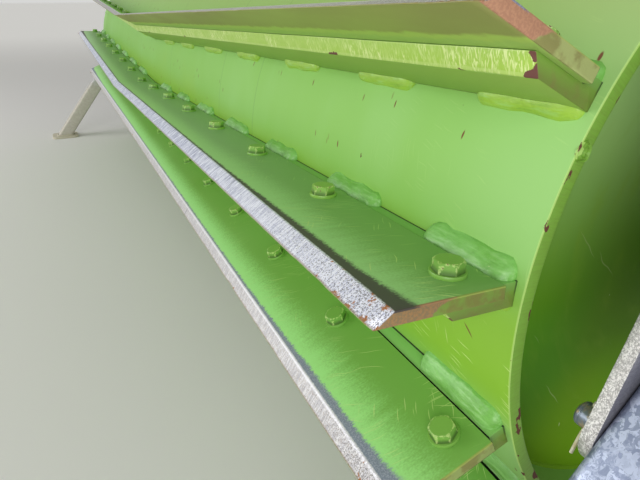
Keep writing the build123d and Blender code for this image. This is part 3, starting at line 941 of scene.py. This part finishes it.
class ROTOR_OT_drum(Step, Operator):
    """Smooth drum shell with cut rims, and the finish of discs, hubs and stub shafts"""
    bl_idname = "rotor.drum"
    bl_label = "Drum"

    def build(self, scene):
        look = scene.paint_look
        outline = rounded([(-HALF, RIM_INSIDE), (-HALF, SHELL_RADIUS), (HALF, SHELL_RADIUS),
                           (HALF, RIM_INSIDE)], 0.0011, 4)
        shell = skin("drum_skin", turned(outline, count=256), looped=True)
        settle(shell, "rotor", "painted_shell", shell_enamel(look), "drum_shell")
        dusk = disc_enamel(look)
        for end in ENDS:
            disc = frame["nodes"][f"end_disc_{end}"]
            disc.data.materials.clear()
            disc.data.materials.append(dusk)
        low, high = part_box("hub_far")
        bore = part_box("stub_shaft_far")[1].z - AXIS[2]
        radius = high.z - AXIS[2]
        hub = rounded([(low.x, bore), (low.x, radius), (high.x, radius), (high.x, bore)],
                      [0.0002, 0.0002, 0.006, 0.0015], 5)
        settle(skin("drum_hubs", both_ends(turned(hub)), looped=True), "rotor", "painted_inside", dusk,
               "hub_far", "hub_near")
        low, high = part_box("stub_shaft_far")
        rod = [(low.x, 0.002), (low.x, bore - 0.003), (low.x + 0.003, bore), (high.x - 0.003, bore),
               (high.x - 0.0008, bore - 0.0022), (high.x, bore - 0.0035), (high.x, 0.004),
               (high.x - 0.004, 0.0015)]
        grease = plain_metal("greased_turned_steel", "#A19F9A", "#6C665A", 0.9, 0.35, 60, 1e-5)
        settle(skin("stub_shafts", both_ends(turned(rod))), "rotor", "shaft_steel", grease,
               "stub_shaft_far", "stub_shaft_near")


class ROTOR_OT_paddles(Step, Operator):
    """Paddle rows: shouldered bars and blades with a worn, nicked outer edge"""
    bl_idname = "rotor.paddles"
    bl_label = "Paddle rows"

    def build(self, scene):
        pad, look = scene.paddle_sizes, scene.paint_look
        rows = range(1, pad.rows + 1)

        # Each end has two extra stations, for its rounded edge and its cap
        t = np.pad(spaced(0.009, 0.018), 2, "edge")
        shrink = np.zeros(len(t))
        shrink[[0, -1]], shrink[[1, -2]] = 0.0007, 0.0002
        inset = np.zeros(len(t))
        inset[[1, -2]], inset[[2, -3]] = 0.0002, 0.0007
        outline = rounded([(pad.root, 0), (pad.tip, 0), (pad.tip - pad.bevel, pad.thick),
                           (pad.root, pad.thick)], [0.0007, 0.00025, 0.0016, 0.0007], 3)
        centre = outline.mean(0)
        wide, worn_band = 0.09, 0.020
        slim = np.stack([1 - 2 * shrink / wide, 1 - 2 * shrink / pad.thick], -1)[:, None]
        section = centre + (outline - centre) * slim
        u, v = section[..., 0], section[..., 1]
        s = (np.abs(t) * pad.blade_end / np.cos(pad.sweep) - inset)[:, None]
        weight = np.clip((u - (pad.tip - worn_band)) / worn_band, 0, 1) ** 1.5
        worn = u - edge_wear(t, pad.rows)[..., None] * weight
        blades = skin("paddle_blades", row_skins(pad, t, (worn, v, s)), unworn=u)
        settle(blades, "rotor", "worn_blade", blade_enamel(look, pad), *[f"blade_{i:02d}" for i in rows])

        t = np.pad(np.linspace(-1, 1, 61), 2, "edge")
        s = (np.abs(t) * pad.bar_end / np.cos(pad.sweep))[:, None]
        s[[1, -2]] -= 0.0003
        s[[2, -3]] -= 0.0010
        edge = (0.0004 * np.sin(37 * t) + 0.0003 * np.sin(91 * t + 1))[:, None]
        sunk = 0.0006
        corner_u = np.concatenate(np.broadcast_arrays(
            foot_at(pad, s, pad.shoulder_rise) - sunk, pad.shoulder, pad.shoulder,
            pad.bar_reach + edge * 0.3, pad.bar_reach - pad.bar_bevel + edge,
            foot_at(pad, s, -pad.bar_depth) - sunk), 1)
        corner_v = np.array([pad.shoulder_rise, pad.shoulder_rise, 0, 0, -pad.bar_depth, -pad.bar_depth])
        corners = np.stack(np.broadcast_arrays(corner_u, corner_v), -1)
        outline = rounded(corners, [0.0001, 0.0009, 0.0002, 0.0009, 0.0012, 0.0001], 3)
        tight = np.ones(len(t))
        tight[[0, -1]], tight[[1, -2]] = 0.965, 0.99
        middle = outline.mean(1, keepdims=True)
        outline = middle + (outline - middle) * tight[:, None, None]
        bars = skin("paddle_bars", row_skins(pad, t, (outline[..., 0], outline[..., 1], s)))
        settle(bars, "rotor", "painted_bar", bar_enamel(look, pad), *[f"bar_{i:02d}" for i in rows])


class ROTOR_OT_blade_bolts(Step, Operator):
    """Hexagon bolts with washers along every blade"""
    bl_idname = "rotor.blade_bolts"
    bl_label = "Blade bolts"

    def build(self, scene):
        pad, size, look = scene.paddle_sizes, scene.fastener_sizes, scene.paint_look
        reach = pad.blade_end / np.cos(pad.sweep) - size.end_gap
        k = np.arange(-size.steps, size.steps + 1)
        side = np.where(k < 0, -1.0, 1.0)
        s = np.maximum(np.abs(k) * reach / size.steps, fold_at(pad, size.line, pad.thick))
        row = np.arange(pad.rows)[:, None]
        seat = on_row(pad, s, size.line, pad.thick, row, side)
        normal = on_row(pad, s, size.line, pad.thick + 1, row, side) - seat
        normal[:, k == 0, 0] = 0
        bolts = placed_bolts("blade_bolts", size, seat.reshape(-1, 3), normal.reshape(-1, 3), 5)
        settle(bolts, "rotor", "worn_blade", bolt_enamel(look))


class ROTOR_OT_root_welds(Step, Operator):
    """Stitch welds along both sides of every bar"""
    bl_idname = "rotor.root_welds"
    bl_label = "Root welds"

    def build(self, scene):
        pad, size, weld = scene.paddle_sizes, scene.fastener_sizes, scene.weld_sizes
        rng = np.random.default_rng(3)
        end = pad.bar_end / np.cos(pad.sweep)
        last = pad.blade_end / np.cos(pad.sweep) - size.end_gap
        bolt = np.arange(1, size.steps + 1) * last / size.steps
        t = np.array([-1, -0.985, -0.95, -0.85, -0.68, -0.48, -0.26, 0, 0.26, 0.48, 0.68, 0.85, 0.95,
                      0.985, 1.0])
        # Each stitch lies beside its bolt, and the last one reaches the end of the bar
        plump = (1 - np.abs(t) ** 14) ** 0.5
        plump[[0, -1]] = 0.12
        skins = []
        for v, leg, ahead, sign in ((pad.shoulder_rise, weld.upper, 0.44, 1),
                                    (-pad.bar_depth, weld.lower, 0.46, -1)):
            shape = (pad.rows, 2, size.steps)
            start = bolt - weld.stitch * (1 - ahead) + rng.uniform(-0.005, 0.005, shape)
            stop = bolt + weld.stitch * ahead + rng.uniform(-0.006, 0.006, shape)
            start[..., -1] = end - weld.stitch + rng.uniform(-0.003, 0.008, shape[:2])
            stop[..., -1] = end - 0.0015
            s = (start + stop)[..., None] / 2 + (stop - start)[..., None] / 2 * t
            row = np.arange(pad.rows)[:, None, None, None]
            side = np.array([1, -1])[:, None, None]
            uneven = 1 + 0.07 * np.sin(160 * s + 9 * row) + rng.uniform(-0.09, 0.09, s.shape)
            uneven[..., -1, :] += 0.20 * (sign > 0)
            reach = leg * plump * uneven
            u = foot_at(pad, s, v)
            corner = on_row(pad, s, u, v, row, side)
            one = on_row(pad, s, u + reach, v, row, side) - corner
            y, z = corner[..., 1] - AXIS[1], corner[..., 2] - AXIS[2]
            turn = sign * reach / SHELL_RADIUS
            two = points(0, y * np.cos(turn) - z * np.sin(turn) - y,
                         y * np.sin(turn) + z * np.cos(turn) - z)
            skins.append(bead(corner, one, two, 1.85).reshape(-1, len(t), 8, 3))
        beads = skin("root_welds", np.concatenate(skins), sharp=50)
        settle(beads, "rotor", "painted_bar", weld_enamel(scene.paint_look, pad))


class ROTOR_OT_drum_welds(Step, Operator):
    """Ring welds of hubs and end discs, and the stop of the shell's seam on each rim"""
    bl_idname = "rotor.drum_welds"
    bl_label = "Drum welds"

    def build(self, scene):
        middle = np.array([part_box("end_disc_far")[1].x, *AXIS[1:]])
        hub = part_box("hub_far")[1].y - AXIS[1]
        around = turns(144)
        out = polar(0, 1, around, 0, 0)
        ripple = 1 + 0.05 * np.sin(61 * around) + 0.06 * np.sin(17 * around + 1)
        leg = (scene.weld_sizes.ring * ripple)[:, None]
        ahead = np.array([1.0, 0, 0])
        stack = np.concatenate([both_ends(bead(middle + out * radius, ahead * leg * size,
                                               sign * out * leg * size, 1.9))
                                for radius, sign, size in ((hub, 1, 1.0), (RIM_INSIDE, -1, 0.6))])
        settle(skin("drum_ring_welds", stack, looped=True, sharp=50), "rotor", "painted_inside",
               bpy.data.materials["enamel_on_end_disc"])

        # Seam stop: a low dome on the rim whose height carries three rings, like a coiled bead
        grid = turns(32)
        t = np.array([1.0, 1.0, 0.93, 0.85, 0.76, 0.68, 0.6, 0.5, 0.42, 0.34, 0.26, 0.18, 0.1])[:, None]
        rise = 0.0020 * (1 - t ** 2) + 0.0007 * np.cos(t * 19) + 0.0006
        rise[0] = -0.001
        wobble = 1 + 0.07 * np.sin(3 * grid + 1) + 0.04 * np.sin(5 * grid)
        turn = SEAM_TURN + 0.0062 * t * wobble * np.cos(grid) / SHELL_RADIUS
        radial = SHELL_RADIUS - 0.0042 + 0.0052 * t * wobble * np.sin(grid)
        stops = both_ends(polar(HALF + rise, radial, turn))
        settle(skin("rim_seam_stops", stops, sharp=60), "rotor", "painted_shell",
               bpy.data.materials["enamel_on_rolled_plate"])


class ROTOR_OT_bearings(Step, Operator):
    """Cast flange bearings with bolts and grease nipples"""
    bl_idname = "rotor.bearings"
    bl_label = "Bearings"

    def build(self, scene):
        low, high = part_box("bearing_far")
        x0, x1 = low.x, high.x
        flange, thick, boss, bore, bolt_circle = high.y - AXIS[1], 0.014, 0.054, 0.0312, 0.0665
        outline = rounded([(x0, bore), (x0, flange), (x0 + thick, flange), (x0 + thick, boss + 0.004),
                           (x1, boss - 0.005), (x1, 0.043), (x1 - 0.004, 0.041), (x1 - 0.004, bore)],
                          [0.0003, 0.0015, 0.004, 0.006, 0.006, 0.001, 0.001, 0.0008], 4)
        iron = plain_metal("enamel_on_cast_iron", "#5F9440", "#76964A", 0.0, 0.5, 90, 3e-4)
        settle(skin("bearing_housings", both_ends(turned(outline)), looped=True), "frame", "bearing_iron",
               iron, "bearing_far", "bearing_near")
        places = both_ends(polar(x0 + thick, bolt_circle, np.pi / 4 + turns(4))).reshape(-1, 3)
        normals = np.sign(places[:, :1]) * (1, 0, 0)
        bolts = placed_bolts("bearing_bolts", scene.fastener_sizes, places, normals, 9)
        dull = plain_metal("dull_zinc_plate", "#9A9A98", "#6E6A60", 0.8, 0.45, 120, 2e-5)
        settle(bolts, "frame", "pin_steel", dull)
        stem = [(0.0, 0.0045), (0.006, 0.0045), (0.0065, 0.0032), (0.010, 0.0032), (0.0115, 0.0040),
                (0.0135, 0.0040), (0.0155, 0.0022)]
        along, radius = np.array(stem).T[..., None]
        turn = turns(18)
        nipple = points(x0 + 0.024 + radius * np.cos(turn), AXIS[1] + radius * np.sin(turn),
                        AXIS[2] + boss + 0.0005 + along)
        settle(skin("grease_nipples", both_ends(nipple)), "frame", "pin_steel", dull)


class ROTOR_OT_legs(Step, Operator):
    """Galvanised parking legs with their feet, pins and split pins"""
    bl_idname = "rotor.legs"
    bl_label = "Parking legs"

    def build(self, scene):
        look = scene.zinc_look
        tube_zinc = zinc("galvanised_square_tube", look, look.spangle, look.pale, look.deep)
        low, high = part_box("parking_leg_far")
        middle = np.array([(low.x + high.x) / 2, *AXIS[1:]]) + LEG_OUT * LEG_LINE
        foot_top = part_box("leg_foot_far")[1].z
        half, wall = (high.x - low.x) / 2, 0.004
        loops = [middle + square(half - inset, 2 * wall - inset, 7) @ np.array([(1, 0, 0), LEG_OUT])
                 for inset in (0, wall)]
        outer, inner = loops
        foot = [(foot_top - loop[:, 2:]) / LEG_ALONG[2] * LEG_ALONG + loop for loop in loops]
        shave = (outer - inner) * 0.15
        top, under_top = LEG_ALONG * LEG_TOP, LEG_ALONG * (LEG_TOP - 0.0006)
        rings = np.stack([foot[0], outer + under_top, outer + top - shave, inner + top + shave,
                          inner + under_top, foot[1]])
        settle(skin("leg_tubes", both_ends(rings), looped=True, sharp=40), "frame", "galvanised_tube",
               tube_zinc, "parking_leg_far", "parking_leg_near")

        plate_zinc = zinc("galvanised_flat_bar", look, 0.003, "#CFCFC8", "#A3A49C")
        for end in ENDS:
            foot_plate = bevelled_copy(f"foot_plate_{end}", f"leg_foot_{end}", 0.001)
            settle(foot_plate, "frame", "galvanised_plate", plate_zinc, f"leg_foot_{end}")
        leg = 0.005
        away = unit((foot[0] - foot[0].mean(0)) * (1, 1, 0))
        weld = bead(foot[0], np.array([0, 0, leg]) + 0 * away, away * leg)
        settle(skin("foot_welds", both_ends(weld), looped=True, sharp=60), "frame", "galvanised_plate",
               plate_zinc)

        steel = plain_metal("weathered_pin_steel", "#8A94A2", "#C4AE80", 0.55, 0.3, 150, 4e-5)
        low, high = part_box("leg_pins_far")
        spots = [(AXIS + LEG_LINE * LEG_OUT + LEG_ALONG * place)[1:] for place in LEG_PINS]
        start, stop = low.x, high.x - 0.008
        tenth = 1e-4
        profile = [(start + tenth * x, tenth * radius) for x, radius in
                   ((0, 15), (3, 46), (11, 70), (22, 84), (32, 89), (36, 85), (40, 85), (44, 90), (52, 90),
                    (56, 86), (60, 86), (64, 90))]
        profile += [(stop + tenth * x, tenth * radius) for x, radius in
                    ((0, 90), (0, 126), (6, 130), (62, 130), (80, 112), (80, 15))]
        pins = np.concatenate([both_ends(turned(profile, *spot, count=48)) for spot in spots])
        settle(skin("leg_pin_rods", pins, sharp=40), "frame", "pin_steel", steel,
               "leg_pins_far", "leg_pins_near")
        yellow = plain_metal("yellow_zinc_wire", "#F2EED0", "#DCD0A0", 0.15, 0.4, 200, 1e-5)
        down = np.array([0, 0.30, -0.954])
        wide = np.cross((1, 0, 0), down)
        wires = []
        for spot in spots:
            for sign, reach in ((1, 285), (-1, 225)):
                run = tenth * np.array([(0, -118), (15, -115), (23, -104), (17, -92), (9, -75), (9, 0),
                                        (9, 95), (16, 125), (21, 165), (26, reach)])
                path = (start + 0.0085, *spot) + sign * run[:, :1] * wide + run[:, 1:] * down
                wires.append(both_ends(wire(path, 0.0013)))
        settle(skin("split_pins", np.concatenate(wires), sharp=60), "frame", "pin_steel", yellow)


class ROTOR_OT_frame(Step, Operator):
    """Galvanised side plates, carrying beam and mounting plate with their welds"""
    bl_idname = "rotor.frame"
    bl_label = "Side plates and beam"

    def build(self, scene):
        look = scene.zinc_look
        plate_zinc = zinc("galvanised_plate", look, 0.0017, "#F2F0EE", "#A8A6A4", True)
        for end in ENDS:
            plate = bevelled_copy(f"side_plate_skin_{end}", f"side_plate_{end}", 0.0012)
            settle(plate, "frame", "galvanised_plate", plate_zinc, f"side_plate_{end}")
        mount = bevelled_copy("mounting_plate_skin", "mounting_plate", 0.0012)
        settle(mount, "frame", "galvanised_plate", plate_zinc, "mounting_plate")

        tube_zinc = zinc("galvanised_beam", look, look.spangle * 1.4, look.pale, look.deep)
        low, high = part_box("carrying_beam")
        half, wall = (high.z - low.z) / 2, 0.006
        y, z = (low.y + high.y) / 2, (low.z + high.z) / 2
        outer, inner = square(half, 2 * wall, 8), square(half - wall, wall, 8)
        rings = np.stack([points(x, y + loop[:, 0], z + loop[:, 1]) for x, loop in
                          ((low.x, outer), (high.x, outer), (high.x, inner), (low.x, inner))])
        settle(skin("beam_tube", rings, looped=True, sharp=40), "frame", "galvanised_tube", tube_zinc,
               "carrying_beam")

        leg = 0.007
        away = unit(points(0, *outer.T))
        welds = both_ends(bead(rings[1], np.array([-leg, 0, 0]) + 0 * away, away * leg))
        settle(skin("beam_welds", welds, looped=True, sharp=60), "frame", "galvanised_plate", plate_zinc)
        t = np.linspace(-1, 1, 40)
        reach = leg * (1 - np.abs(t) ** 12) ** 0.5 * (1 + 0.06 * np.sin(40 * t)) + 0.0006
        runs = [bead(points(0.15 * t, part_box("mounting_plate")[1].y, z + sign * half),
                     points(0, 0, sign * reach), points(0, reach, 0)) for sign in (1, -1)]
        settle(skin("mounting_welds", np.stack(runs), sharp=60), "frame", "galvanised_plate", plate_zinc)


class ROTOR_OT_studio(Step, Operator):
    """Pale floor, soft light and the camera"""
    bl_idname = "rotor.studio"
    bl_label = "Studio"

    def build(self, scene):
        look = scene.studio_look
        ground = CAD_BOX[0][2]
        edge = 40
        mesh = bpy.data.meshes.new("studio_floor")
        mesh.from_pydata([(edge * x, edge * y, ground) for x, y in ((-1, -1), (1, -1), (1, 1), (-1, 1))],
                         [], [(0, 1, 2, 3)])
        floor = bpy.data.objects.new("studio_floor", mesh)
        floor.data.materials.append(floor_paint(look))
        scene.collection.objects.link(floor)

        world = bpy.data.worlds.new("even_surround")
        world.use_nodes = True
        world.node_tree.nodes.clear()
        add = partial(add_node, world.node_tree)
        camera, glossy, through = (add("LightPath", out=f"Is {kind} Ray")
                                   for kind in ("Camera", "Glossy", "Transmission"))
        seen = add("max", add("max", camera, glossy), through)
        plain, shown = (add("Background", "#F4F4F2", strength) for strength in (look.sky, 0.75))
        add("OutputWorld", add("MixShader", seen, plain, shown))
        scene.world = world

        aim = Vector((-0.4, *AXIS[1:]))
        for name, place, size, power in (("key_box", (1.5, 3.9, 0.6), 2.6, look.key),
                                         ("fill_box", (-3.4, 2.3, 0.5), 2.2, look.fill)):
            lamp = bpy.data.lights.new(name, "AREA")
            lamp.shape, lamp.size, lamp.energy = "SQUARE", size, power
            box = bpy.data.objects.new(name, lamp)
            box.location = place
            box.rotation_euler = (aim - Vector(place)).to_track_quat("-Z", "Y").to_euler()
            scene.collection.objects.link(box)

        stand, yaw, tilt = (-1.472482, 0.771515, -0.275556), -0.444901, 0.431516
        ahead = Vector((np.cos(tilt) * np.cos(yaw), np.cos(tilt) * np.sin(yaw), -np.sin(tilt)))
        right = Vector((np.sin(yaw), -np.cos(yaw), 0))
        up = right.cross(ahead)
        view = bpy.data.cameras.new("camera")
        view.sensor_fit, view.sensor_width, view.lens = "HORIZONTAL", 36, look.lens
        view.clip_start, view.clip_end = 0.01, 200
        camera = bpy.data.objects.new("camera", view)
        turn = Matrix((right, up, -ahead)).transposed().to_4x4()
        camera.matrix_world = Matrix.Translation(stand) @ turn
        scene.collection.objects.link(camera)
        scene.camera = camera
        scene.view_settings.view_transform = "Standard"


class ROTOR_PT_finish(Panel):
    """Sizes, colours and the steps of the finish"""
    bl_label = "Spreader rotor"
    bl_idname = "ROTOR_PT_finish"
    bl_space_type = "VIEW_3D"
    bl_region_type = "UI"
    bl_category = "Rotor"

    def draw(self, context):
        layout = self.layout
        for step in STEPS:
            layout.operator(step.bl_idname)
        for group in GROUPS:
            box = layout.box()
            values = getattr(context.scene, group)
            for key in GROUPS[group].__annotations__:
                box.prop(values, key)


GROUPS = {"paddle_sizes": PaddleSizes, "fastener_sizes": FastenerSizes, "weld_sizes": WeldSizes,
          "paint_look": PaintLook, "zinc_look": ZincLook, "studio_look": StudioLook}
STEPS = (ROTOR_OT_studio, ROTOR_OT_drum, ROTOR_OT_paddles, ROTOR_OT_blade_bolts, ROTOR_OT_root_welds,
         ROTOR_OT_drum_welds, ROTOR_OT_bearings, ROTOR_OT_legs, ROTOR_OT_frame)


def register():
    for kind in (*GROUPS.values(), *STEPS, ROTOR_PT_finish):
        bpy.utils.register_class(kind)
    for name, kind in GROUPS.items():
        setattr(bpy.types.Scene, name, PointerProperty(type=kind))


def unregister():
    for name in GROUPS:
        delattr(bpy.types.Scene, name)
    for kind in reversed((*GROUPS.values(), *STEPS, ROTOR_PT_finish)):
        bpy.utils.unregister_class(kind)


def main():
    """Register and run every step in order."""
    register()
    bpy.ops.rotor.studio()
    bpy.ops.rotor.drum()
    bpy.ops.rotor.paddles()
    bpy.ops.rotor.blade_bolts()
    bpy.ops.rotor.root_welds()
    bpy.ops.rotor.drum_welds()
    bpy.ops.rotor.bearings()
    bpy.ops.rotor.legs()
    bpy.ops.rotor.frame()


if __name__ == "__main__":
    main()
